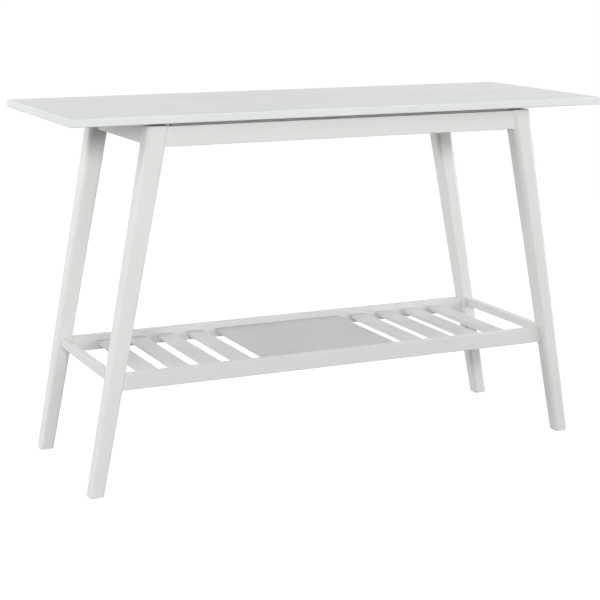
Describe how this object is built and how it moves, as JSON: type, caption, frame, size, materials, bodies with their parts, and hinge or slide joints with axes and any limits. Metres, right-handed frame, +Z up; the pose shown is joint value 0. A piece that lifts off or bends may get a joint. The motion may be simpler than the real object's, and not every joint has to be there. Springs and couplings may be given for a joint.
{
  "type": "console table",
  "caption": "Narrow rectangular console table with splayed tapered legs, a floating thin top and a low open shelf of slats around a wide centre panel.",
  "frame": {"origin": "on the floor, under the middle of the top", "axes": "+X along the length to the right seen from the front, +Y from the front to the back, +Z up"},
  "size_m": [1.2, 0.45, 0.762],
  "materials": {
    "top_paint": "white satin lacquer over a smooth board",
    "frame_paint": "white satin lacquer over solid wood",
    "shelf_paint": "white satin lacquer over solid wood and board",
    "bare_wood": "unfinished beech",
    "zinc_steel": "zinc plated",
    "glide_plastic": "matte"
  },
  "bodies": {
    "root": {"apron_back": "frame_paint", "apron_front": "frame_paint", "apron_left": "frame_paint", "apron_right": "frame_paint", "corner_block_back_left": "bare_wood", "corner_block_back_right": "bare_wood", "corner_block_front_left": "bare_wood", "corner_block_front_right": "bare_wood", "foot_glide_back_left": "glide_plastic", "foot_glide_back_right": "glide_plastic", "foot_glide_front_left": "glide_plastic", "foot_glide_front_right": "glide_plastic", "leg_back_left": "frame_paint", "leg_back_right": "frame_paint", "leg_bolt_back_left": "zinc_steel", "leg_bolt_back_right": "zinc_steel", "leg_bolt_front_left": "zinc_steel", "leg_bolt_front_right": "zinc_steel", "leg_front_left": "frame_paint", "leg_front_right": "frame_paint", "leg_nut_back_left": "zinc_steel", "leg_nut_back_right": "zinc_steel", "leg_nut_front_left": "zinc_steel", "leg_nut_front_right": "zinc_steel", "rail_dowel_lower_back_left": "bare_wood", "rail_dowel_lower_back_right": "bare_wood", "rail_dowel_lower_front_left": "bare_wood", "rail_dowel_lower_front_right": "bare_wood", "rail_dowel_upper_back_left": "bare_wood", "rail_dowel_upper_back_right": "bare_wood", "rail_dowel_upper_front_left": "bare_wood", "rail_dowel_upper_front_right": "bare_wood", "shelf_panel": "shelf_paint", "shelf_rail_back": "shelf_paint", "shelf_rail_front": "shelf_paint", "shelf_slat_1": "shelf_paint", "shelf_slat_2": "shelf_paint", "shelf_slat_3": "shelf_paint", "shelf_slat_4": "shelf_paint", "shelf_slat_5": "shelf_paint", "shelf_slat_6": "shelf_paint", "shelf_slat_7": "shelf_paint", "shelf_slat_8": "shelf_paint", "shelf_stretcher_left": "shelf_paint", "shelf_stretcher_right": "shelf_paint", "table_top": "top_paint", "top_batten_left": "bare_wood", "top_batten_middle": "bare_wood", "top_batten_right": "bare_wood", "top_screw_1": "zinc_steel", "top_screw_2": "zinc_steel", "top_screw_3": "zinc_steel", "top_screw_4": "zinc_steel", "top_screw_5": "zinc_steel", "top_screw_6": "zinc_steel", "top_spacer_back": "frame_paint", "top_spacer_front": "frame_paint", "top_spacer_left": "frame_paint", "top_spacer_right": "frame_paint"}
  },
  "joints": []
}
